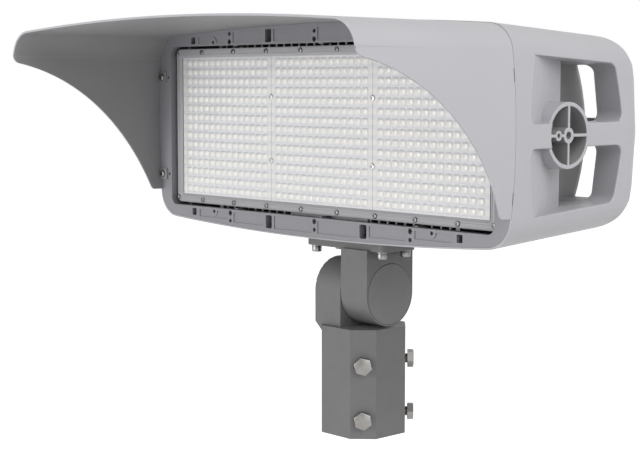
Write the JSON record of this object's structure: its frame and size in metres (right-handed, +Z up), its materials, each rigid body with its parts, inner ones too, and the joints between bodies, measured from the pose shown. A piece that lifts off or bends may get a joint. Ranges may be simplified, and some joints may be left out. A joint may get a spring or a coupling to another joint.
{
  "type": "stadium flood light",
  "caption": "Wide LED flood light with a curved visor, open grip frames at its sides and a tilting knuckle on a slip fitter for a pole end.",
  "frame": {"origin": "centre of the pole socket's mouth", "axes": "+Z up along the socket's axis, the lens faces -Y, +X to the right seen from the front"},
  "size_m": [0.5056, 0.3963, 0.4123],
  "materials": {
    "housing_paint": "light grey satin powder coat on cast aluminium",
    "visor_paint": "light grey satin powder coat on aluminium sheet",
    "bezel_paint": "mid grey satin powder coat",
    "cast_aluminium": "as cast",
    "board_white": "white solder mask",
    "lens_clear": "frosted moulded lens",
    "black_rubber": "silicone",
    "stainless": "stainless steel",
    "driver_case": "plain metal case",
    "surge_red": "potted module",
    "terminal_ivory": "plain plastic",
    "black_plastic": "matt",
    "knuckle_paint": "dark grey satin powder coat on cast aluminium"
  },
  "bodies": {
    "base": {"slip_fitter": "knuckle_paint", "pivot_bolt": "stainless", "pivot_washer": "stainless", "pivot_nut": "stainless"},
    "head": {"top_cover": "housing_paint", "bottom_cover": "housing_paint", "end_frame_right": "housing_paint", "end_frame_left": "housing_paint", "grip_panel_right": "housing_paint", "grip_panel_left": "housing_paint", "front_bezel": "bezel_paint", "heat_sink_plate": "cast_aluminium", "heat_sink_fins": "cast_aluminium", "led_board_1": "board_white", "led_board_2": "board_white", "led_board_3": "board_white", "lens_1": "lens_clear", "lens_2": "lens_clear", "lens_3": "lens_clear", "lens_frame": "bezel_paint", "lens_gasket": "black_rubber", "lens_frame_screws": "stainless", "lens_seam_screws": "stainless", "bezel_screws": "stainless", "visor": "visor_paint", "visor_screws": "stainless", "driver_box": "cast_aluminium", "driver_cover": "housing_paint", "driver_cover_gasket": "black_rubber", "driver_cover_screws": "stainless", "driver_right": "driver_case", "driver_left": "driver_case", "surge_protector": "surge_red", "terminal_block": "terminal_ivory", "breather_valve": "black_plastic", "cable_gland": "black_plastic", "cover_screws": "stainless", "frame_screws": "stainless", "knuckle_upper": "knuckle_paint", "knuckle_gasket": "black_rubber", "flange_screws": "stainless", "flange_washers": "stainless", "pivot_cap": "knuckle_paint"},
    "clamp_bolt_1": {"clamp_bolt_1": "stainless"},
    "clamp_bolt_2": {"clamp_bolt_2": "stainless"},
    "clamp_bolt_3": {"clamp_bolt_3": "stainless"},
    "clamp_bolt_4": {"clamp_bolt_4": "stainless"}
  },
  "joints": [
    {"name": "head_tilt", "type": "hinge", "parent": "base", "child": "head", "pos_m": [0, 0, 0.1437], "axis": [1, 0, 0], "range_deg": [-90, 90]},
    {"name": "clamp_bolt_1_slide", "type": "slide", "parent": "base", "child": "clamp_bolt_1", "axis": [0.7071, -0.7071, 0], "range_m": [-0.0022, 0.008]},
    {"name": "clamp_bolt_2_slide", "type": "slide", "parent": "base", "child": "clamp_bolt_2", "axis": [0.7071, 0.7071, 0], "range_m": [-0.0022, 0.008]},
    {"name": "clamp_bolt_3_slide", "type": "slide", "parent": "base", "child": "clamp_bolt_3", "axis": [0.7071, -0.7071, 0], "range_m": [-0.0022, 0.008]},
    {"name": "clamp_bolt_4_slide", "type": "slide", "parent": "base", "child": "clamp_bolt_4", "axis": [0.7071, 0.7071, 0], "range_m": [-0.0022, 0.008]}
  ]
}
